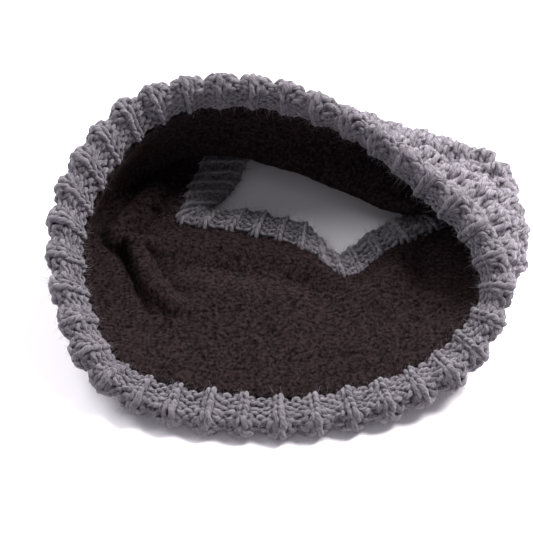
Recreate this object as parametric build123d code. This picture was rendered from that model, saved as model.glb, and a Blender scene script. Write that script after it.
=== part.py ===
from build123d import *
import math
import os

# A lined knitted neck gaiter, 540 mm round and 130 mm high, slumped on a table and
# leaning towards the front. One reference surface, midway between knit and
# lining, carries every piece: the knit lies outside it, the lining inside it, and both
# hems wrap round its edges.

# Driving dimensions, mm
KNIT_THICK = 5.2          # bobble knit, reference surface outwards
HEM_THICK = 5.0           # each leg of the turned hem
LINING_THICK = 2.5        # fleece, pile included
SKIN_GAP = 0.3            # between knit and lining
HEM_SPAN = 0.13           # share of the wall taken by each turned hem
SEAM_GAP = 0.014          # share left open between hem and wall for the seam
STITCH_SPAN = 0.010       # half width of the hem stitching, as a share
STITCH_HALF = 0.5         # and its half height
SEAM_WIDE = 3.6           # side seam ridge
SEAM_HIGH = 1.4

KNIT_SEAM_STATION = 11.2  # where the knit tube is sewn up
LINING_SEAM_STATION = 12.4

# Rings of the slumped wall, upper edge to lower edge. Each lists 16 stations
# counter-clockwise from the front: x across, y away, z above the table.
RING_SPANS = (0.0, 0.13, 0.32, 0.52, 0.70, 0.87, 1.0)
UPPER_EDGE = [
    (5, -97, 6), (39, -92, 7), (71, -81, 11), (93, -61, 19),
    (101, -35, 31), (88, -9, 42), (65, 14, 51), (37, 34, 60),
    (5, 47, 66), (-30, 49, 66), (-61, 38, 62), (-82, 13, 52),
    (-90, -15, 40), (-87, -45, 27), (-70, -76, 13), (-36, -93, 7)]
UPPER_SEAM = [
    (5, -84, 7), (37, -80, 8), (66, -69, 11), (87, -53, 17),
    (97, -30, 24), (87, -4, 33), (65, 19, 40), (39, 39, 48),
    (5, 51, 53), (-30, 52, 53), (-57, 37, 49), (-76, 11, 40),
    (-83, -14, 30), (-79, -41, 19), (-63, -69, 11), (-33, -80, 8)]
POCKET = [
    (6, -52, 8), (35, -50, 9), (63, -44, 10), (90, -35, 13),
    (108, -18, 19), (106, 10, 30), (80, 33, 31), (44, 46, 34),
    (7, 54, 34), (-28, 58, 33), (-56, 50, 27), (-78, 26, 18),
    (-84, -2, 12), (-76, -30, 9), (-56, -48, 8), (-26, -52, 8)]
BULGE = [
    (8, -30, 9), (35, -30, 9), (62, -24, 10), (90, -14, 10),
    (111, 0, 14), (101, 17, 23), (65, 20, 18), (38, 35, 19),
    (10, 49, 19), (-18, 59, 19), (-44, 60, 14), (-64, 40, 10),
    (-70, 12, 9), (-62, -12, 9), (-46, -24, 9), (-18, -28, 9)]
FOOT = [
    (12, -14, 9), (38, -20, 9), (62, -8, 9), (89, 4, 9),
    (110, 18, 13), (105, 34, 21), (73, 38, 12), (44, 53, 10),
    (15, 66, 13), (-11, 76, 16), (-34, 73, 15), (-47, 56, 13),
    (-50, 30, 10), (-50, 8, 12), (-40, 0, 10), (-14, -6, 9)]
LOWER_SEAM = [
    (15, 0, 8), (36, -18, 8), (57, -1, 8), (84, 17, 8),
    (105, 33, 12), (106, 48, 18), (82, 60, 17), (54, 75, 15),
    (24, 88, 15), (-2, 91, 17), (-21, 82, 17), (-31, 64, 13),
    (-36, 46, 10), (-40, 30, 11), (-42, 15, 10), (-14, 9, 9)]
LOWER_EDGE = [
    (17, 14, 7), (32, -5, 7), (52, 11, 7), (76, 28, 7),
    (96, 40, 7), (101, 56, 7), (82, 72, 7), (56, 86, 7),
    (27, 96, 7), (2, 97, 7), (-11, 84, 7), (-14, 67, 7),
    (-18, 51, 7), (-24, 38, 7), (-33, 25, 7), (-9, 23, 7)]
RINGS = (UPPER_EDGE, UPPER_SEAM, POCKET, BULGE, FOOT, LOWER_SEAM, LOWER_EDGE)
STATIONS = 16

# Reach of a normal, in stations and span: wider for the layers that round off tight folds
HEM_REACH = (0.1, 0.01)
LINING_REACH = (0.5, 0.1)
KNIT_REACH = (0.8, 0.15)


def blend(p0, p1, p2, p3, t):
    """Catmull-Rom between p1 and p2."""
    return [0.5 * (2 * b + (c - a) * t + (2 * a - 5 * b + 4 * c - d) * t * t
                   + (3 * b - a - 3 * c + d) * t ** 3)
            for a, b, c, d in zip(p0, p1, p2, p3)]


def on_ring(ring, station):
    i = math.floor(station)
    return blend(*(ring[(i + k) % STATIONS] for k in (-1, 0, 1, 2)), station - i)


def beyond(end, inner):
    """Ghost row past the end, so the spline runs straight off it."""
    return [2 * e - i for e, i in zip(end, inner)]


def wall(station, span):
    """Reference surface, span 0 at the upper edge, 1 at the lower."""
    k = max(j for j in range(6) if RING_SPANS[j] <= span)
    t = (span - RING_SPANS[k]) / (RING_SPANS[k + 1] - RING_SPANS[k])
    rows = [on_ring(ring, station) for ring in RINGS]
    rows = [beyond(rows[0], rows[1])] + rows + [beyond(rows[-1], rows[-2])]
    return Vector(*blend(*rows[k:k + 4], t))


def inward(station, span, reach=HEM_REACH):
    """Unit normal towards the neck opening."""
    low, high = max(span - reach[1], 0.0), min(span + reach[1], 1.0)
    along = wall(station, high) - wall(station, low)
    across = wall(station + reach[0], span) - wall(station - reach[0], span)
    return across.cross(along).normalized()


def at(station, span, lift, reach=HEM_REACH):
    """Point a given distance inwards from the reference surface."""
    return wall(station, span) + inward(station, span, reach) * lift


def around(section, per_station=3):
    """Solid ring through evenly spaced sections, made as two halves."""
    count = STATIONS * per_station
    half_turns = (range(0, count // 2 + 1), range(count // 2, count + 1))
    halves = [Solid.make_loft([section(i / per_station) for i in half], ruled=True)
              for half in half_turns]
    return halves[0] + halves[1]


def flatten(points, far_point, across):
    """Lay a height profile in one plane, so the two halves can share it as a flat face."""
    first = points[0]
    normal = (far_point - first).cross(across).normalized()
    return [p - normal * (p - first).dot(normal) for p in points]


def layer_section(station, low, high, first, last, steps=24, reach=HEM_REACH):
    """Closed profile of a wall layer between two distances from the reference surface."""
    spans = [first + (last - first) * i / steps for i in range(steps + 1)]
    near = [at(station, span, low, reach) for span in spans]
    far = [at(station, span, high, reach) for span in reversed(spans)]
    if station % (STATIONS / 2) == 0:
        across = inward(station, first)
        flat = flatten(near + far, near[-1], across)
        near, far = flat[:steps + 1], flat[steps + 1:]
    return Wire([Edge.make_spline(near), Edge.make_line(near[-1], far[0]),
                 Edge.make_spline(far), Edge.make_line(far[-1], near[0])])


def hem_section(station, edge, seam):
    """Closed profile of a turned hem: round over the folded edge, square at the seam."""
    fold = wall(station, edge)
    outwards = (fold - wall(station, seam)).normalized()
    points = [at(station, seam, HEM_THICK), at(station, edge, HEM_THICK),
              fold + outwards * HEM_THICK,
              at(station, edge, -HEM_THICK), at(station, seam, -HEM_THICK)]
    if station % (STATIONS / 2) == 0:
        points = flatten(points, fold, inward(station, edge))
    a, b, tip, c, d = points
    return Wire([Edge.make_line(a, b), Edge.make_three_point_arc(b, tip, c),
                 Edge.make_line(c, d), Edge.make_line(d, a)])


def thread_section(station, span):
    """Small square section of the hem stitching, on the inner face."""
    return layer_section(station, LINING_THICK - STITCH_HALF, LINING_THICK + STITCH_HALF,
                         span - STITCH_SPAN, span + STITCH_SPAN, steps=2)


def side_seam(station, first, last, lift):
    """Low ridge running edge to edge along the wall."""
    spans = [first + (last - first) * i / 12 for i in range(13)]
    path = Edge.make_spline([at(station, span, lift) for span in spans])
    across = at(station + 0.1, first, lift) - at(station - 0.1, first, lift)
    start = Plane(origin=path @ 0, x_dir=across, z_dir=path % 0)
    section = start * Ellipse(SEAM_WIDE / 2, SEAM_HIGH / 2)
    return sweep(section, path=path)


def gaiter():
    top, bottom = HEM_SPAN, 1 - HEM_SPAN
    return {
        "knit_body": around(lambda s: layer_section(
            s, -KNIT_THICK, 0, top + SEAM_GAP, bottom - SEAM_GAP, reach=KNIT_REACH)),
        "fleece_lining": around(lambda s: layer_section(
            s, SKIN_GAP, SKIN_GAP + LINING_THICK, top + 2 * SEAM_GAP, bottom - 2 * SEAM_GAP,
            reach=LINING_REACH)),
        "upper_rib_hem": around(lambda s: hem_section(s, 0.0, top)),
        "lower_rib_hem": around(lambda s: hem_section(s, 1.0, bottom)),
        "upper_hem_stitching": around(
            lambda s: thread_section(s, top + SEAM_GAP), per_station=8),
        "lower_hem_stitching": around(
            lambda s: thread_section(s, bottom - SEAM_GAP), per_station=8),
        "knit_side_seam": side_seam(KNIT_SEAM_STATION, top + 0.03, bottom - 0.03,
                                    -KNIT_THICK - SEAM_HIGH / 2 - 0.6),
        "lining_side_seam": side_seam(LINING_SEAM_STATION, top + 0.04, bottom - 0.04,
                                      LINING_THICK + SKIN_GAP + SEAM_HIGH / 2 + 0.5),
    }


os.makedirs("parts", exist_ok=True)
pieces = gaiter()
boxes = [piece.bounding_box() for piece in pieces.values()]
low = [min(getattr(b.min, axis) for b in boxes) for axis in "XYZ"]
high = [max(getattr(b.max, axis) for b in boxes) for axis in "XYZ"]
stand = Vector(-(low[0] + high[0]) / 2, -(low[1] + high[1]) / 2, -low[2])
for name, piece in pieces.items():
    export_step(piece.moved(Location(stand)), f"parts/{name}.step")
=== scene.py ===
import math
import bpy
import numpy as np
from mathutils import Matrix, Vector
from mathutils.kdtree import KDTree


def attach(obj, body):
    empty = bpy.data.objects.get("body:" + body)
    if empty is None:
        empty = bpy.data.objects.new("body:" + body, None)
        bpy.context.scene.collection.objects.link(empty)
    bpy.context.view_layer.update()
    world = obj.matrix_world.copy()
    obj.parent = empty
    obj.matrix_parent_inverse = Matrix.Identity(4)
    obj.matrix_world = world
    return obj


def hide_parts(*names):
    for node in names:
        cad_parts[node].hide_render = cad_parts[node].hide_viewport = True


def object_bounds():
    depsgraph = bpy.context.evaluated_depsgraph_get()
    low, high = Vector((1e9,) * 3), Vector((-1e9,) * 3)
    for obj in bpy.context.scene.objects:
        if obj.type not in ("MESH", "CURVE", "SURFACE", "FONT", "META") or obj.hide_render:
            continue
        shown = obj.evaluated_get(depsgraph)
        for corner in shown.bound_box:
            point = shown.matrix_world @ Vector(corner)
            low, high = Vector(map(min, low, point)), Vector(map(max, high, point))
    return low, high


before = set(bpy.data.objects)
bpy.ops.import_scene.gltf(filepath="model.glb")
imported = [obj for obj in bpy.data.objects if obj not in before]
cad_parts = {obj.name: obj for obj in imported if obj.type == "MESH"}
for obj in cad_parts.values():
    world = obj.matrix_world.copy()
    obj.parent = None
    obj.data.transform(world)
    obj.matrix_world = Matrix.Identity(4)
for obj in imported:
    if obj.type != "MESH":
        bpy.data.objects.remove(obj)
cad_low, cad_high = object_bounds()

# Lengths are in mm until mesh_piece() turns them into metres in the row frame.
# Driving dimensions
KNIT_SEAM_STATION = 11.2      # where the knit tube is sewn up
LINING_SEAM_STATION = 12.6    # and the fleece tube
REPEATS = 36                  # rib repeats round the tube
STITCHES = 3 * REPEATS        # one knit and two purl columns to a repeat
STITCH_WIDE = 5.0
CIRCUMFERENCE = STITCHES * STITCH_WIDE
WALL_HIGH = 110.0             # from upper to lower edge, along the slumped wall
STATION_WIDE = 35.0           # and round it from one station to the next
HEM_SPAN = 0.13               # share of the wall that each turned hem covers
HEM_ROWS = 4                  # courses on the inner leg of a hem
FOLD_ROWS = 3                 # courses over a folded edge
BODY_ROWS = 30                # courses down the outside
ROW_HIGH = 3.6
KNIT_LIFT = 3.2               # middle of the knit from the reference surface
SEED = 7

# Yarn and loop shape
YARN_R = 1.15                 # on the inner leg of the hem
YARN_R_OUT = 1.42             # on the relaxed outside
LOOP_LEAN = 0.95              # sideways swing of a loop's legs
LOOP_REACH = 3.1              # half height of a loop
LOOP_DEPTH = 1.0              # how far legs and heads part through the fabric
LEG_TILT = 0.4                # one leg of a knit loop stands above the other
POINTS_PER_STITCH = 18
SIDES = 9                     # corners of the yarn's section
PLY_TWIST = 4.6               # mm of yarn to half a turn of the two plies
PLY_GROOVE = 0.22             # depth of the groove between the plies, share of radius
COURSES_PER_PIECE = 5

# Fleece and loose fibres
FLEECE_FIRST, FLEECE_LAST = 0.118, 0.885    # shares of the wall where the lining ends
FLEECE_LIFT = 2.5             # from the reference surface to the foot of the pile
FLEECE_STEP = 0.7             # between the lining's grid points
FLEECE_ROWS = 128
TUFT_CELLS = (2.7, 1.9)       # spacing of the coarse and the fine tufts
FUZZ_FIBRES = 44000           # stray fibres in each half of the yarn's fuzz
FIBRE_WIDE = 0.10             # width of one at its root

# The slumped wall, as in the CAD part: rings of 16 stations from the upper edge down.
# Stations 10 to 12 of FOOT and 10 to 11 of LOWER_SEAM lie up to 2.5 mm off the part's, so
# that the flattened tube folds the right way round at the back left.
RING_SPANS = np.array([0.0, 0.13, 0.32, 0.52, 0.70, 0.87, 1.0])
UPPER_EDGE = [
    (5, -97, 6), (39, -92, 7), (71, -81, 11), (93, -61, 19),
    (101, -35, 31), (88, -9, 42), (65, 14, 51), (37, 34, 60),
    (5, 47, 66), (-30, 49, 66), (-61, 38, 62), (-82, 13, 52),
    (-90, -15, 40), (-87, -45, 27), (-70, -76, 13), (-36, -93, 7)]
UPPER_SEAM = [
    (5, -84, 7), (37, -80, 8), (66, -69, 11), (87, -53, 17),
    (97, -30, 24), (87, -4, 33), (65, 19, 40), (39, 39, 48),
    (5, 51, 53), (-30, 52, 53), (-57, 37, 49), (-76, 11, 40),
    (-83, -14, 30), (-79, -41, 19), (-63, -69, 11), (-33, -80, 8)]
POCKET = [
    (6, -52, 8), (35, -50, 9), (63, -44, 10), (90, -35, 13),
    (108, -18, 19), (106, 10, 30), (80, 33, 31), (44, 46, 34),
    (7, 54, 34), (-28, 58, 33), (-56, 50, 27), (-78, 26, 18),
    (-84, -2, 12), (-76, -30, 9), (-56, -48, 8), (-26, -52, 8)]
BULGE = [
    (8, -30, 9), (35, -30, 9), (62, -24, 10), (90, -14, 10),
    (111, 0, 14), (101, 17, 23), (65, 20, 18), (38, 35, 19),
    (10, 49, 19), (-18, 59, 19), (-44, 60, 14), (-64, 40, 10),
    (-70, 12, 9), (-62, -12, 9), (-46, -24, 9), (-18, -28, 9)]
FOOT = [
    (12, -14, 9), (38, -20, 9), (62, -8, 9), (89, 4, 9),
    (110, 18, 13), (105, 34, 21), (73, 38, 12), (44, 53, 10),
    (15, 66, 13), (-11, 76, 16), (-34, 73, 16), (-47, 56, 10.5),
    (-50, 30, 9), (-50, 8, 12), (-40, 0, 10), (-14, -6, 9)]
LOWER_SEAM = [
    (15, 0, 8), (36, -18, 8), (57, -1, 8), (84, 17, 8),
    (105, 33, 12), (106, 48, 18), (82, 60, 17), (54, 75, 15),
    (24, 88, 15), (-2, 91, 17), (-21, 82, 16), (-31, 64, 12),
    (-36, 46, 10), (-40, 30, 11), (-42, 15, 10), (-14, 9, 9)]
LOWER_EDGE = [
    (17, 14, 7), (32, -5, 7), (52, 11, 7), (76, 28, 7),
    (96, 40, 7), (101, 56, 7), (82, 72, 7), (56, 86, 7),
    (27, 96, 7), (2, 97, 7), (-11, 84, 7), (-14, 67, 7),
    (-18, 51, 7), (-24, 38, 7), (-33, 25, 7), (-9, 23, 7)]
RINGS = np.array(
    [UPPER_EDGE, UPPER_SEAM, POCKET, BULGE, FOOT, LOWER_SEAM, LOWER_EDGE], float)
STATIONS = 16
CAD_LOW = np.array([-95.314, -102.0, 1.0])   # low corner of the CAD box on these rings

# Creases in the slack front wall of the fleece, in plan: points along the crest, half
# width and height (minus = valley).
CREASES = (
    (((-69, 3), (-60, 2), (-50, 0)), 2.5, 3),
    (((-60, 0), (-57, -8), (-54, -16), (-49, -25), (-41, -36)), 3.6, 4.5),
    (((-69, 8), (-61, 23), (-53, 36)), 4.5, 6),
    (((-68, -1), (-63, -10), (-58, -24), (-51, -39)), 3, -2),
    (((-51, -8), (-47, -18), (-38, -28)), 4.5, -2),
    (((-42, -12), (-30, -11), (-16, -14), (0, -14), (14, -23), (23, -29)), 8, -2),
    (((-36, -1), (-15, 1), (5, -5), (22, -13)), 10, 2.6),
    (((-36, -24), (-12, -28), (8, -36)), 11, 1.4),
    (((63, -1), (54, -21), (48, -32)), 8, 3.5),
    (((70, -1), (70, -16)), 7, -2))

SHIFT = np.array(cad_low) * 1000 - CAD_LOW
FLOOR = CAD_LOW[2]            # height of the table on these rings
rng = np.random.default_rng(SEED)


# ---------------------------------------------------------------- reference surface

def blend(a, b, c, d, t):
    """Catmull-Rom between b and c."""
    return 0.5 * (2 * b + (c - a) * t + (2 * a - 5 * b + 4 * c - d) * t * t
                  + (3 * b - a - 3 * c + d) * t ** 3)


def smooth_wall(stations, spans):
    """Points [span, station, xyz] of the slumped wall."""
    base = np.floor(stations).astype(int)
    t = (stations - base)[None, :, None]
    rows = blend(*(RINGS[:, (base + k) % STATIONS] for k in (-1, 0, 1, 2)), t)
    rows = np.concatenate([2 * rows[:1] - rows[1:2], rows, 2 * rows[-1:] - rows[-2:-1]])
    k = np.clip(np.searchsorted(RING_SPANS, spans, side="right") - 1, 0, 5)
    t = ((spans - RING_SPANS[k]) / (RING_SPANS[k + 1] - RING_SPANS[k]))[:, None, None]
    return blend(*(rows[k + j] for j in range(4)), t)


def unit(v):
    return v / (np.linalg.norm(v, axis=-1, keepdims=True) + 1e-12)


def normals(points):
    """Unit normals towards the neck, of a grid that closes round the stations."""
    around = np.roll(points, -1, 1) - np.roll(points, 1, 1)
    return unit(np.cross(around, np.gradient(points, axis=0)))


def crease_height(x, y):
    """How far the creases lift the fleece at places in plan."""
    total = np.zeros_like(x)
    for crest, half_width, height in CREASES:
        off = np.full_like(x, np.inf)
        for (x0, y0), (x1, y1) in zip(crest, crest[1:]):
            dx, dy = x1 - x0, y1 - y0
            t = np.clip(((x - x0) * dx + (y - y0) * dy) / (dx * dx + dy * dy), 0, 1)
            off = np.minimum(off, np.hypot(x - x0 - t * dx, y - y0 - t * dy))
        total += height * np.exp(-(off / half_width) ** 2)
    return total


def wall(stations, spans):
    """Reference surface and its unit normals towards the neck."""
    points = smooth_wall(stations, spans)
    return points, normals(points)


def creased_wall(stations, spans):
    """The same with the fleece's creases, where it faces up and between the hems."""
    points, normal = wall(stations, spans)
    inside = np.clip((spans - HEM_SPAN) / 0.08, 0, 1) * np.clip((0.9 - spans) / 0.1, 0, 1)
    facing_up = np.clip((normal[..., 2] - 0.2) / 0.2, 0, 1)
    height = crease_height(points[..., 0], points[..., 1]) * inside[:, None] * facing_up
    points = points + normal * height[..., None]
    return points, normals(points)


def even_stations(count):
    """Stations that divide the upper edge into equal lengths."""
    fine = np.linspace(0, STATIONS, 3201)
    edge = smooth_wall(fine, np.array([0.0]))[0]
    steps = np.linalg.norm(np.diff(edge, axis=0), axis=1)
    length = np.concatenate([[0], np.cumsum(steps)])
    return np.interp(np.arange(count) / count * length[-1], length, fine)


def sample(grid, y, x):
    """Values between the points of a grid that closes round its columns."""
    y = np.clip(y, 0, len(grid) - 1.001)
    iy, ix = np.floor(y).astype(int), np.floor(x).astype(int)
    fy, fx = y - iy, x - ix
    if grid.ndim == 3:
        fy, fx = fy[..., None], fx[..., None]
    ix, jx = ix % grid.shape[1], (ix + 1) % grid.shape[1]
    return ((grid[iy, ix] * (1 - fx) + grid[iy, jx] * fx) * (1 - fy)
            + (grid[iy + 1, ix] * (1 - fx) + grid[iy + 1, jx] * fx) * fy)


def soft_noise(shape, scale):
    """Smooth random field of unit spread that wraps round; scale in grid steps (y, x)."""
    fy = np.fft.fftfreq(shape[0])[:, None] * scale[0]
    fx = np.fft.fftfreq(shape[1])[None, :] * scale[1]
    spectrum = np.fft.fft2(rng.normal(size=shape)) * np.exp(-(fx ** 2 + fy ** 2) * 9.0)
    field = np.real(np.fft.ifft2(spectrum))
    return (field - field.mean()) / field.std()


# ---------------------------------------------------------------- knitted fabric

PER_STITCH = 6                # grid steps to a stitch
PER_ROW = 6                   # grid steps to a course
TOTAL_ROWS = 2 * (HEM_ROWS + FOLD_ROWS) + BODY_ROWS
UPPER_FOLD = HEM_ROWS + FOLD_ROWS / 2       # course on the crest of the upper edge
LOWER_FOLD = TOTAL_ROWS - UPPER_FOLD
PUFF_WIDE = 3                 # stitches to a puff
PUFF_HIGH = 3                 # courses to a puff


def leg_and_fold(stations, flip):
    """Inner leg of a hem and its rolled edge, from the seam to the start of the outside."""
    hem = np.linspace(HEM_SPAN, 0, HEM_ROWS * PER_ROW, endpoint=False)
    spans = np.concatenate([hem[::-1], [0.0]])
    if flip:
        spans = 1 - spans
    order = np.argsort(spans)
    points, inward = wall(stations, spans[order])
    if not flip:
        points, inward = points[::-1], inward[::-1]
    edge, edge_in = points[-1], inward[-1]
    off = unit(edge - points[-4])
    off = unit(off - edge_in * np.sum(off * edge_in, -1, keepdims=True))
    angle = np.linspace(0, math.pi, FOLD_ROWS * PER_ROW, endpoint=False)[:, None, None]
    facing = np.cos(angle) * edge_in + np.sin(angle) * off
    mid = np.concatenate([points[:-1] + KNIT_LIFT * inward[:-1], edge + KNIT_LIFT * facing])
    return mid, np.concatenate([inward[:-1], facing])


def fabric_sheet(stations):
    """Middle of the knit, row by row from the inner edge of the upper hem, over the fold,
    down the outside and up inside the lower hem, and the directions it faces."""
    upper, upper_facing = leg_and_fold(stations, flip=False)
    lower, lower_facing = leg_and_fold(stations, flip=True)
    points, inward = wall(stations, np.linspace(0, 1, BODY_ROWS * PER_ROW + 1))
    mid = np.concatenate([upper, points - KNIT_LIFT * inward, lower[::-1]])
    facing = np.concatenate([upper_facing, -inward, lower_facing[::-1]])
    return mid, unit(facing)


def puff_height(rows, columns, loose):
    """How far the fabric stands out in each puff: scallops along both folds, and half-drop
    domes down the outside, where it hangs loose."""
    across = (0.5 + 0.5 * np.cos(2 * math.pi * columns / PUFF_WIDE)) ** 0.45
    upper = np.exp(-((rows - UPPER_FOLD - 0.6) / 1.9) ** 2)
    lower = np.exp(-((rows - LOWER_FOLD + 0.6) / 1.9) ** 2)
    scallop = (upper + 0.4 * lower) * (3.9 * across - 2.4)
    band = np.floor((rows - UPPER_FOLD - 2) / PUFF_HIGH)
    down = (rows - UPPER_FOLD - 2) / PUFF_HIGH - band
    sideways = columns / PUFF_WIDE + 0.5 * (band % 2) + 0.5
    dome = (np.sin(math.pi * down) * np.abs(np.cos(math.pi * (sideways - 0.5)))) ** 0.8
    outside = np.clip((rows - UPPER_FOLD - 1) / 2, 0, 1) * np.clip(
        (LOWER_FOLD - 1 - rows) / 2, 0, 1)
    return scallop + loose * outside * (5.2 * dome - 2.6)


def rib_height(rows, columns):
    """Knit columns stand out of the rib, purl columns sink."""
    at_hems = np.clip((UPPER_FOLD - rows) / 2, 0, 1) + np.clip((rows - LOWER_FOLD) / 2, 0, 1)
    return at_hems * 0.75 * np.cos(2 * math.pi * columns / PUFF_WIDE)


def tucked_edge(rows):
    """The cut edges of the knit turn down into the seams with the lining."""
    from_edge = np.minimum(rows, TOTAL_ROWS - rows)
    return -2.6 * np.clip(1 - from_edge / 1.2, 0, 1) ** 2


def stitch_face(rows, columns):
    """+1 where the knit face shows, -1 where the purl face does."""
    on_hem = (rows < UPPER_FOLD + 1) | (rows > LOWER_FOLD - 1)
    knit_column = np.round(columns) % PUFF_WIDE == 0
    band_row = np.round(rows - UPPER_FOLD - 2) % PUFF_HIGH
    return np.where(on_hem, np.where(knit_column, 1.0, -1.0),
                    np.where(band_row < PUFF_HIGH - 1, 1.0, -1.0))


def smooth_round(grid, spread):
    """Blur along the closed columns, spread in grid steps."""
    wave = np.fft.fftfreq(grid.shape[1])[None, :, None]
    damp = np.exp(-2 * (math.pi * wave * spread) ** 2)
    return np.real(np.fft.ifft(np.fft.fft(grid, axis=1) * damp, axis=1))


class Fabric:
    """The knit's middle surface in stitch and course coordinates, the way it faces, and
    how wide its stitches are drawn."""

    def __init__(self):
        stations = even_stations(STITCHES * PER_STITCH)
        mid, facing = fabric_sheet(stations)
        self.mid = smooth_round(mid, 0.5 * PER_STITCH)
        self.facing = unit(smooth_round(facing, 1.2 * PER_STITCH))
        rows = np.arange(len(self.mid))[:, None] / PER_ROW
        columns = np.arange(STITCHES * PER_STITCH)[None, :] / PER_STITCH
        # fabric that faces down is pressed flat against the table or the lining
        loose = np.clip(1.2 + 1.5 * self.facing[..., 2], 0.25, 1)
        height = (puff_height(rows, columns, loose) + rib_height(rows, columns)
                  + tucked_edge(rows))
        height = height + 0.35 * soft_noise(height.shape, (10, 10))
        self.mid = self.mid + self.facing * height[..., None]
        half = PER_STITCH // 2
        self.width = np.linalg.norm(
            np.roll(self.mid, -half, 1) - np.roll(self.mid, half, 1), axis=-1)

    def sample(self, grid, rows, columns):
        return sample(grid, rows * PER_ROW, columns * PER_STITCH)

    def point(self, rows, columns, height):
        facing = unit(self.sample(self.facing, rows, columns))
        return self.sample(self.mid, rows, columns) + facing * height[..., None], facing


def wander(count, points, size):
    """Slow drift along a closed course, one run per course."""
    return size * soft_noise((count, points), (0.4, POINTS_PER_STITCH * 0.8))


def blur_face(face):
    """Ease each course from knit to purl over half a stitch."""
    kernel = np.hanning(9) / np.hanning(9).sum()
    wrapped = np.concatenate([face[:, -4:], face, face[:, :4]], 1)
    return np.array([np.convolve(line, kernel, "valid") for line in wrapped])


def yarn_radius(courses, stitch, width):
    """Radius of the yarn: full on the outside, less in the hems and tight places."""
    relaxed = np.clip((courses - HEM_ROWS + 0.5) / 3, 0, 1)
    relaxed = relaxed * np.clip((TOTAL_ROWS - HEM_ROWS + 0.5 - courses) / 3, 0, 1)
    radius = YARN_R + (YARN_R_OUT - YARN_R) * relaxed
    radius = radius * np.clip(width / STITCH_WIDE, 0.72, 1.08)
    at_fold = np.exp(-((courses - UPPER_FOLD - 0.6) / 1.6) ** 2)
    radius = radius * (1 + 0.12 * at_fold * np.cos(2 * math.pi * stitch / PUFF_WIDE))
    return radius * (1 + wander(*width.shape, 0.06))


def yarn_courses(fabric, courses):
    """Centre line, facing direction and radius of each course of loops."""
    count = STITCHES * POINTS_PER_STITCH
    t = 2 * math.pi * np.arange(count)[None, :] / POINTS_PER_STITCH
    stitch = t / (2 * math.pi)
    lean = LOOP_LEAN / STITCH_WIDE
    reach = LOOP_REACH / ROW_HIGH
    course = courses[:, None]
    columns = stitch + lean * np.sin(2 * t) + wander(len(courses), count, 0.05)
    rows = course + reach * np.cos(t) + wander(len(courses), count, 0.07)
    face = stitch_face(course, stitch)
    face = blur_face(face)
    height = -face * LOOP_DEPTH * np.cos(2 * t) + wander(len(courses), count, 0.18)
    height = height + LEG_TILT * np.sin(t) * np.clip(face, 0, 1)
    centre, facing = fabric.point(rows, columns, height)
    width = fabric.sample(fabric.width, rows, columns)
    return centre, facing, height, yarn_radius(course, stitch, width)


def tube_rings(centre, facing, height, radius, pitch, groove):
    """Rings of a two-ply yarn along closed lines: points, outward directions, fibre
    coordinates (length, cos and sin round the twisting plies) and crown, which is 1 on
    top of the fabric and 0 deep in it and sets the painted shade between the loops."""
    tangent = unit(np.roll(centre, -1, 1) - np.roll(centre, 1, 1))
    side = unit(np.cross(tangent, facing))
    up = np.cross(side, tangent)
    step = np.linalg.norm(centre - np.roll(centre, 1, 1), axis=-1)
    step[:, 0] = 0
    length = np.cumsum(step, 1)
    angle = 2 * math.pi * np.arange(SIDES) / SIDES
    twist = math.pi * length / pitch
    round_ply = angle[None, None, :] - twist[..., None]
    out = (side[:, :, None, :] * np.cos(angle)[:, None]
           + up[:, :, None, :] * np.sin(angle)[:, None])
    reach = radius[..., None] * (1 + groove * np.cos(2 * round_ply))
    points = centre[:, :, None, :] + out * reach[..., None]
    fibre = np.stack([np.broadcast_to(length[..., None] / 5, round_ply.shape),
                      np.cos(round_ply), np.sin(round_ply)], -1)
    lit = np.sum(out * facing[:, :, None, :], -1) * radius[..., None] + height[..., None]
    crown = 0.5 + 0.5 * lit / (LOOP_DEPTH + YARN_R)
    return points, out, fibre, crown


def closed_tube_faces(lines, rings, sides):
    """Quads of tubes that close on themselves."""
    line = np.arange(lines)[:, None, None] * rings * sides
    ring = np.arange(rings)[None, :, None]
    side = np.arange(sides)[None, None, :]
    here, ahead = ring * sides, (ring + 1) % rings * sides
    turn = (side + 1) % sides
    quads = np.stack([line + here + side, line + ahead + side,
                      line + ahead + turn, line + here + turn], -1)
    return quads.reshape(-1, 4)


# ---------------------------------------------------------------- Blender pieces

def mesh_piece(name, points, quads, material, **layers):
    """A smooth mesh of points in mm, placed in the row frame in metres, with its layers
    of numbers or vectors, one to a point."""
    mesh = bpy.data.meshes.new(name)
    points = (np.asarray(points, float).reshape(-1, 3) + SHIFT) / 1000
    quads = np.asarray(quads, np.int32)
    mesh.vertices.add(len(points))
    mesh.vertices.foreach_set("co", points.astype(np.float32).ravel())
    mesh.loops.add(quads.size)
    mesh.loops.foreach_set("vertex_index", quads.ravel())
    mesh.polygons.add(len(quads))
    corners = quads.shape[1]
    mesh.polygons.foreach_set("loop_start", np.arange(len(quads), dtype=np.int32) * corners)
    mesh.update(calc_edges=True)
    mesh.validate()
    mesh.polygons.foreach_set("use_smooth", np.ones(len(mesh.polygons), bool))
    for key, values in layers.items():
        values = np.asarray(values, np.float32).ravel()
        vectors = len(values) == 3 * len(points)
        layer = mesh.attributes.new(key, "FLOAT_VECTOR" if vectors else "FLOAT", "POINT")
        layer.data.foreach_set("vector" if vectors else "value", values)
    mesh.materials.append(material)
    piece = bpy.data.objects.new(name, mesh)
    bpy.context.scene.collection.objects.link(piece)
    return piece


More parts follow.
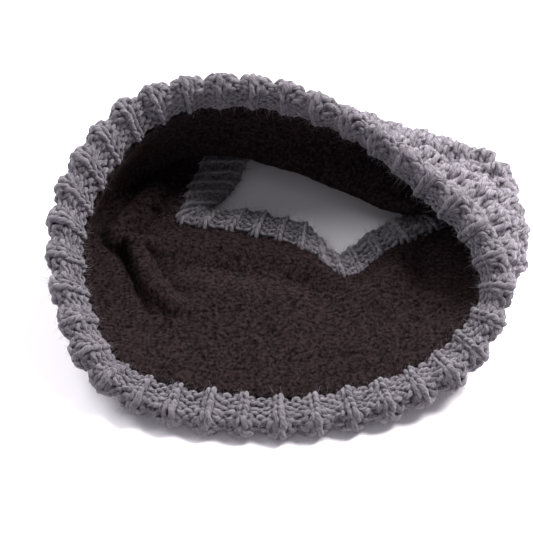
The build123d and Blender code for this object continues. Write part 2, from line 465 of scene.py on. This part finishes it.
def node_material(name, base, roughness, sheen, sheen_roughness, sheen_tint, gloss=0.12):
    """A material, its node tree and its Principled shader."""
    material = bpy.data.materials.new(name)
    material.use_nodes = True
    tree = material.node_tree
    shader = tree.nodes["Principled BSDF"]
    shader.inputs["Base Color"].default_value = (*base, 1)
    shader.inputs["Roughness"].default_value = roughness
    shader.inputs["Sheen Weight"].default_value = sheen
    shader.inputs["Sheen Roughness"].default_value = sheen_roughness
    shader.inputs["Sheen Tint"].default_value = (*sheen_tint, 1)
    shader.inputs["Specular IOR Level"].default_value = gloss
    return material, tree, shader


def add_node(tree, kind, **values):
    """A node with its sockets, or else its settings, at these values."""
    node = tree.nodes.new(kind)
    for key, value in values.items():
        if key in node.inputs:
            node.inputs[key].default_value = value
        else:
            setattr(node, key, value)
    return node


def ramp(tree, source, stops):
    """Colour output of a ramp through (position, colour) stops."""
    node = tree.nodes.new("ShaderNodeValToRGB")
    elements = node.color_ramp.elements
    elements[0].position, elements[0].color = stops[0][0], (*stops[0][1], 1)
    elements[1].position, elements[1].color = stops[-1][0], (*stops[-1][1], 1)
    for position, colour in stops[1:-1]:
        elements.new(position).color = (*colour, 1)
    tree.links.new(source, node.inputs["Fac"])
    return node.outputs["Color"]


def multiply(tree, first, second):
    """Product of two colours."""
    node = add_node(tree, "ShaderNodeMix", data_type="RGBA", blend_type="MULTIPLY")
    node.inputs["Factor"].default_value = 1.0
    colours = [i for i in node.inputs if i.type == "RGBA"]
    tree.links.new(first, colours[0])
    tree.links.new(second, colours[1])
    return [o for o in node.outputs if o.type == "RGBA"][0]


def yarn_material(name, dark, light, sheen=0.25):
    """Heathered two-ply yarn: streaks along the fibres, painted shade where it lies deep
    between loops, painted light that draws the outside lighter than the hems, with fine fuzz."""
    material, tree, shader = node_material(name, light, 0.92, sheen, 0.5, (0.86, 0.84, 0.92))
    fibre = add_node(tree, "ShaderNodeAttribute", attribute_name="fibre")
    streaks = add_node(tree, "ShaderNodeTexNoise", Scale=2.6, Detail=6.0, Roughness=0.7)
    tree.links.new(fibre.outputs["Vector"], streaks.inputs["Vector"])
    heather = ramp(tree, streaks.outputs["Fac"], [(0.38, dark), (0.56, light), (0.8, light)])
    place = add_node(tree, "ShaderNodeTexCoord")
    patches = add_node(tree, "ShaderNodeTexNoise", Scale=90.0, Detail=3.0)
    tree.links.new(place.outputs["Object"], patches.inputs["Vector"])
    tone = ramp(tree, patches.outputs["Fac"], [(0.3, (0.8, 0.8, 0.8)), (0.7, (1, 1, 1))])
    # painted shade: yarn low in the crown layer, deep between the loops, is drawn darker
    crown_for_shade = add_node(tree, "ShaderNodeAttribute", attribute_name="crown")
    painted_gap_shade = ramp(tree, crown_for_shade.outputs["Fac"], [
        (0.3, (0.035, 0.035, 0.04)), (0.6, (0.3, 0.3, 0.31)), (0.88, (1, 1, 1))])
    # painted light: the hems are drawn at 0.6 of the outside's brightness
    painted_light_outside = add_node(tree, "ShaderNodeAttribute", attribute_name="outside")
    nap_and_painted_light = ramp(tree, painted_light_outside.outputs["Fac"], [(0.0, (0.6, 0.6, 0.6)), (1.0, (1, 1, 1))])
    colour = multiply(tree, multiply(tree, heather, tone), multiply(tree, painted_gap_shade, nap_and_painted_light))
    tree.links.new(colour, shader.inputs["Base Color"])
    fuzz = add_node(tree, "ShaderNodeTexNoise", Scale=2600.0, Detail=4.0, Roughness=0.7)
    tree.links.new(place.outputs["Object"], fuzz.inputs["Vector"])
    total = add_node(tree, "ShaderNodeMath", operation="ADD")
    tree.links.new(streaks.outputs["Fac"], total.inputs[0])
    tree.links.new(fuzz.outputs["Fac"], total.inputs[1])
    bump = add_node(tree, "ShaderNodeBump", Strength=0.8, Distance=0.0006)
    tree.links.new(total.outputs[0], bump.inputs["Height"])
    tree.links.new(bump.outputs["Normal"], shader.inputs["Normal"])
    return material


def fleece_material():
    """Matt dark pile: pilled tufts a few mm across over a finer nap, with painted shade
    low between the tufts.
    """
    dark, light = (0.0028, 0.0019, 0.0020), (0.0290, 0.0200, 0.0212)
    material, tree, shader = node_material(
        "dark_fleece", light, 0.95, 0.03, 0.5, (0.5, 0.36, 0.34), gloss=0.0)
    place = add_node(tree, "ShaderNodeTexCoord")
    tufts = add_node(tree, "ShaderNodeTexNoise", Scale=620.0, Detail=4.0, Roughness=0.6)
    nap_and_painted_light = add_node(tree, "ShaderNodeTexNoise", Scale=2400.0, Detail=4.0, Roughness=0.75)
    for texture in (tufts, nap_and_painted_light):
        tree.links.new(place.outputs["Object"], texture.inputs["Vector"])
    colour = ramp(tree, tufts.outputs["Fac"], [(0.35, dark), (0.65, light)])
    speck = ramp(tree, nap_and_painted_light.outputs["Fac"], [(0.35, (0.45, 0.45, 0.45)), (0.62, (1, 1, 1))])
    # painted shade: low places in the pile, between the tufts, are drawn darker
    crown_for_shade = add_node(tree, "ShaderNodeAttribute", attribute_name="crown")
    painted_gap_shade = ramp(tree, crown_for_shade.outputs["Fac"], [(0.1, (0.35, 0.35, 0.35)), (0.8, (1, 1, 1))])
    colour = multiply(tree, multiply(tree, colour, speck), painted_gap_shade)
    tree.links.new(colour, shader.inputs["Base Color"])
    total = add_node(tree, "ShaderNodeMath", operation="ADD")
    tree.links.new(tufts.outputs["Fac"], total.inputs[0])
    tree.links.new(nap_and_painted_light.outputs["Fac"], total.inputs[1])
    bump = add_node(tree, "ShaderNodeBump", Strength=0.7, Distance=0.0009)
    tree.links.new(total.outputs[0], bump.inputs["Height"])
    tree.links.new(bump.outputs["Normal"], shader.inputs["Normal"])
    return material


def finish_piece(piece, slot, *nodes):
    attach(piece, "root")
    if nodes:
        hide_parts(*nodes)


def grid_faces(rows, columns):
    """Quads of a grid that closes round its columns."""
    r = np.arange(rows - 1)[:, None]
    c = np.arange(columns)[None, :]
    d = (c + 1) % columns
    return np.stack([r * columns + c, r * columns + d,
                     (r + 1) * columns + d, (r + 1) * columns + c], -1).reshape(-1, 4)


def course_groups():
    courses = np.arange(TOTAL_ROWS) + 0.5
    return [courses[i:i + COURSES_PER_PIECE]
            for i in range(0, len(courses), COURSES_PER_PIECE)]


def make_yarn(fabric, material):
    """All courses of loops, a few courses to a piece, and surface points for the fuzz."""
    pieces, skins = [], []
    for number, courses in enumerate(course_groups()):
        centre, facing, height, radius = yarn_courses(fabric, courses)
        points, out, fibre, crown = tube_rings(
            centre, facing, height, radius, PLY_TWIST, PLY_GROOVE)
        points[..., 2] = np.maximum(points[..., 2], FLOOR + 0.1)
        quads = closed_tube_faces(len(courses), points.shape[1], SIDES)
        # outside is 1 down the outside courses, which the material draws lighter as painted
        # light
        outside = np.clip((courses - UPPER_FOLD) / 3, 0, 1) * np.clip(
            (LOWER_FOLD - courses) / 3, 0, 1)
        outside = np.broadcast_to(outside[:, None, None], crown.shape)
        piece = mesh_piece(f"knit_courses_{number + 1:02d}", points, quads, material,
                           fibre=fibre, crown=crown, outside=outside)
        pieces.append(piece)
        skins.append((points, out, facing))
    return pieces, skins


def make_backing(fabric, material):
    """The close inner side of the knit, in a darker copy of the yarn: painted shade seen
    only as dark gaps between the loops.
    """
    points = fabric.mid - fabric.facing * 1.7
    points = points[::3, ::3]
    points[..., 2] = np.maximum(points[..., 2], FLOOR + 0.3)
    faces = grid_faces(*points.shape[:2])
    return mesh_piece("knit_backing_painted_shade", points, faces, material)


def fleece_pile(rows, columns, cell):
    """Rounded tufts: height from the nearest of one jittered point per cell."""
    high, wide = int(rows.max() / cell) + 3, int(round(CIRCUMFERENCE / cell))
    seeds = rng.random((high, wide, 3))
    nearest = np.full(np.broadcast(rows, columns).shape, 9.0)
    lift = np.zeros_like(nearest)
    cy, cx = rows / cell, columns / cell
    iy, ix = np.floor(cy).astype(int), np.floor(cx).astype(int)
    for dy in (-1, 0, 1):
        for dx in (-1, 0, 1):
            y, x = np.clip(iy + dy, 0, high - 1), ix + dx
            seed = seeds[y, x % wide]
            off = np.hypot(cy - y - seed[..., 0], cx - x - seed[..., 1])
            closer = off < nearest
            nearest = np.where(closer, off, nearest)
            lift = np.where(closer, seed[..., 2], lift)
    return np.sqrt(np.clip(1 - nearest ** 2, 0, 1)) * (0.6 + 0.4 * lift)


def keep_inside(points, fabric, clearance=0.5):
    """Lining points that a tight fold has pushed out through the knit, moved back in."""
    rows = slice(round(UPPER_FOLD * PER_ROW), round(LOWER_FOLD * PER_ROW), 2)
    knit = fabric.mid[rows, ::2].reshape(-1, 3)
    facing = fabric.facing[rows, ::2].reshape(-1, 3)
    tree = KDTree(len(knit))
    for index, place in enumerate(knit):
        tree.insert(place, index)
    tree.balance()
    flat = points.reshape(-1, 3)
    near = np.array([tree.find(place)[1] for place in flat])
    past = np.sum((flat - knit[near]) * facing[near], -1) + clearance
    return (flat - facing[near] * np.clip(past, 0, None)[:, None]).reshape(points.shape)


def make_lining(fabric, material):
    """The fleece tube with its creases and tufts, clear of the knit."""
    columns = int(CIRCUMFERENCE / FLEECE_STEP)
    stations = even_stations(columns)
    spans = np.linspace(FLEECE_FIRST, FLEECE_LAST, FLEECE_ROWS)
    points, inward = creased_wall(stations, spans)
    y = (np.arange(FLEECE_ROWS) * FLEECE_STEP)[:, None]
    x = (np.arange(columns) * FLEECE_STEP)[None, :]
    coarse, fine = (fleece_pile(y, x, cell) for cell in TUFT_CELLS)
    pile = 0.65 * coarse + 0.35 * fine
    drift = 0.25 * soft_noise(pile.shape, (8, 8))
    points = points + inward * (FLEECE_LIFT + pile + drift)[..., None]
    points = keep_inside(points, fabric)
    points[..., 2] = np.maximum(points[..., 2], FLOOR + 1.5)
    # the pile height goes in the crown layer, for the painted shade between the tufts
    return mesh_piece("fleece_lining_cloth", points, grid_faces(FLEECE_ROWS, columns),
                      material, crown=pile)


def make_fuzz(name, skins, material):
    """Stray fibres that stand off the yarn, as narrow bent ribbons."""
    points = np.concatenate([s[0].reshape(-1, 3) for s in skins])
    out = np.concatenate([s[1].reshape(-1, 3) for s in skins])
    facing = np.concatenate([np.repeat(s[2].reshape(-1, 3), SIDES, 0) for s in skins])
    pick = rng.integers(0, len(points), FUZZ_FIBRES * 3)
    pick = pick[np.sum(out[pick] * facing[pick], -1) > 0.2][:FUZZ_FIBRES]
    start = points[pick]
    lead = unit(out[pick] * 0.6 + facing[pick] * 0.3 + rng.normal(size=start.shape) * 0.6)
    curl = rng.normal(size=start.shape) * 0.8
    length = rng.uniform(1.0, 3.6, (len(pick), 1))
    across = unit(np.cross(lead, rng.normal(size=start.shape)))
    ribbon = []
    for s in np.linspace(0, 1, 3):
        middle = start + lead * length * s + curl * (length * s * s * 0.5)
        half = FIBRE_WIDE / 2 * (1 - 0.6 * s)
        ribbon.append(middle - across * half)
        ribbon.append(middle + across * half)
    ribbon = np.stack(ribbon, 1)
    ribbon[..., 2] = np.maximum(ribbon[..., 2], FLOOR + 0.05)
    first = np.arange(len(pick))[:, None, None] * 6
    quad = np.array([[0, 1, 3, 2], [2, 3, 5, 4]])[None]
    # the fibres get no painted shade and the full painted light of the outside
    return mesh_piece(name, ribbon, (first + quad).reshape(-1, 4), material,
                      crown=np.ones(ribbon.shape[:2]), outside=np.ones(ribbon.shape[:2]))


def open_tubes(name, paths, radius, sides, material):
    """Round threads along many open paths [thread, point, xyz]."""
    tangent = unit(np.gradient(paths, axis=1))
    side = unit(np.cross(tangent, np.array([0.31, 0.22, 0.93])))
    up = np.cross(side, tangent)
    angle = 2 * math.pi * np.arange(sides) / sides
    out = (side[:, :, None, :] * np.cos(angle)[:, None]
           + up[:, :, None, :] * np.sin(angle)[:, None])
    points = paths[:, :, None, :] + radius * out
    lines, rings = paths.shape[:2]
    line = np.arange(lines)[:, None, None] * rings * sides
    ring = np.arange(rings - 1)[None, :, None] * sides
    corner = np.arange(sides)[None, None, :]
    turn = (corner + 1) % sides
    quads = np.stack([line + ring + corner, line + ring + turn,
                      line + ring + sides + turn, line + ring + sides + corner], -1)
    fibre = np.broadcast_to(paths[:, :, None, :] / 3, points.shape)
    # crown 0.9 keeps the threads nearly free of painted shade; without an outside layer they
    # get no painted light
    return mesh_piece(name, points, quads.reshape(-1, 4), material, fibre=fibre,
                      crown=np.full(points.shape[:3], 0.9))


def surface_at(surface, stations, spans, lift):
    """Points over a path across the wall, each with its own station and span."""
    per_station, rows = 30, 400
    grid, inward = surface(np.arange(STATIONS * per_station) / per_station,
                           np.linspace(0, 1, rows + 1))
    y, x = spans * rows, stations * per_station
    return sample(grid, y, x) + unit(sample(inward, y, x)) * lift[:, None]


def hem_stitches(name, seam_span, material):
    """Slanted whip stitches that hold a hem's edge down on the fleece."""
    stations = even_stations(STITCHES)
    steps = np.linspace(-1, 1, 7)
    paths = []
    for s in steps:
        shifted = stations + 0.035 * s
        spans = np.full(STITCHES, seam_span) + 0.007 * s
        lift = np.full(STITCHES, FLEECE_LIFT + 0.8 + 0.5 * (1 - s * s))
        paths.append(surface_at(wall, shifted, spans, lift))
    return open_tubes(name, np.stack(paths, 1), 0.25, 6, material)


def zigzag_seam(name, surface, station, first, last, lift, wide, radius, pitch, material):
    """A thread that crosses to and fro along a seam from hem to hem."""
    crossings = int((last - first) * WALL_HIGH / pitch)
    t = np.linspace(0, 1, crossings * 8 + 1)
    spans = first + (last - first) * t
    swing = np.sin(math.pi * crossings * t)
    stations = station + wide / 2 / STATION_WIDE * swing
    height = lift + 0.5 * np.cos(2 * math.pi * crossings * t)
    path = surface_at(surface, stations % STATIONS, spans, height)
    return open_tubes(name, path[None], radius, 8, material)


# ---------------------------------------------------------------- build

fabric = Fabric()
grey = yarn_material("grey_yarn", (0.055, 0.050, 0.057), (0.262, 0.238, 0.268))
# a darker copy of the yarn for the backing: painted shade between the loops
backing_shade = yarn_material("yarn_backing_painted_shade", (0.03, 0.028, 0.032), (0.07, 0.065, 0.073))
thread = yarn_material("dark_thread", (0.004, 0.003, 0.003), (0.012, 0.009, 0.009), sheen=0.0)
fleece = fleece_material()

courses, skins = make_yarn(fabric, grey)
for course in courses:
    finish_piece(course, "grey_yarn")
backing = make_backing(fabric, backing_shade)
finish_piece(backing, "grey_yarn", "knit_body", "upper_rib_hem", "lower_rib_hem")
halves = (len(skins) + 1) // 2
fuzz = [make_fuzz("yarn_fuzz_upper", skins[:halves], grey),
        make_fuzz("yarn_fuzz_lower", skins[halves:], grey)]
for piece in fuzz:
    finish_piece(piece, "grey_yarn")
knit_seam = zigzag_seam("knit_side_seam_yarn", wall, KNIT_SEAM_STATION, 0.15, 0.85,
                        -KNIT_LIFT - 3.2, 1.6, 0.9, 3.4, grey)
finish_piece(knit_seam, "grey_yarn", "knit_side_seam")

lining = make_lining(fabric, fleece)
finish_piece(lining, "dark_fleece", "fleece_lining")
lining_seam = zigzag_seam("lining_seam_thread", creased_wall, LINING_SEAM_STATION, 0.16,
                          0.84, FLEECE_LIFT + 0.6, 1.0, 0.2, 1.5, thread)
finish_piece(lining_seam, "dark_fleece", "lining_side_seam")
for name, span in (("upper_hem", HEM_SPAN - 0.004), ("lower_hem", 1 - HEM_SPAN + 0.004)):
    piece = hem_stitches(name + "_stitches", span, thread)
    finish_piece(piece, "dark_thread", name + "_stitching")


# ---------------------------------------------------------------- stage

VIEW_ELEVATION = math.radians(46)
VIEW_DISTANCE = 0.8
VIEW_HALF_WIDTH = 0.1225      # half of what the picture takes in, at that distance
AIM = Vector((-0.0107, -0.0005, -0.001))    # from the middle of the box's floor side


def make_floor():
    bpy.ops.mesh.primitive_plane_add(size=1.6, location=(0, 0, cad_low[2]))
    floor = bpy.context.object
    floor.name = "floor"
    material = node_material("pale_floor", (0.9, 0.875, 0.905), 0.9, 0, 0.5, (1, 1, 1))[0]
    floor.data.materials.append(material)


def make_light(name, place, aim, size, power, colour):
    lamp = bpy.data.lights.new(name, "AREA")
    lamp.shape = "DISK"
    lamp.size = size
    lamp.energy = power
    lamp.color = colour
    holder = bpy.data.objects.new(name, lamp)
    holder.location = place
    holder.rotation_euler = (Vector(aim) - Vector(place)).to_track_quat("-Z", "Y").to_euler()
    bpy.context.scene.collection.objects.link(holder)


def make_camera():
    middle = Vector(((cad_low[0] + cad_high[0]) / 2, (cad_low[1] + cad_high[1]) / 2,
                     cad_low[2]))
    aim = middle + AIM
    forward = Vector((0, math.cos(VIEW_ELEVATION), -math.sin(VIEW_ELEVATION)))
    data = bpy.data.cameras.new("camera")
    data.sensor_width = 36
    data.lens = 18 * VIEW_DISTANCE / VIEW_HALF_WIDTH
    camera = bpy.data.objects.new("camera", data)
    camera.location = aim - forward * VIEW_DISTANCE
    camera.rotation_euler = forward.to_track_quat("-Z", "Y").to_euler()
    bpy.context.scene.collection.objects.link(camera)
    bpy.context.scene.camera = camera


def make_world():
    """White studio walls round the table, dimmer overhead."""
    world = bpy.data.worlds.new("studio")
    world.use_nodes = True
    tree = world.node_tree
    direction = add_node(tree, "ShaderNodeTexCoord")
    split = add_node(tree, "ShaderNodeSeparateXYZ")
    tree.links.new(direction.outputs["Generated"], split.inputs[0])
    colour = ramp(tree, split.outputs["Z"], [
        (0.0, (0.95, 0.93, 1.0)), (0.2, (0.8, 0.78, 0.84)), (0.45, (0.22, 0.21, 0.23)),
        (1.0, (0.15, 0.145, 0.155))])
    backdrop = tree.nodes["Background"]
    tree.links.new(colour, backdrop.inputs["Color"])
    backdrop.inputs["Strength"].default_value = 1.6
    bpy.context.scene.world = world


make_floor()
make_light("key", (0.66, 0.46, 0.94), (0, 0, 0.03), 0.7, 54.0, (1.0, 0.985, 0.98))
make_light("fill", (-0.75, 0.5, 0.8), (0, 0, 0.03), 0.9, 18.5, (0.985, 0.98, 1.0))
make_camera()
make_world()
bpy.context.scene.view_settings.view_transform = "Standard"
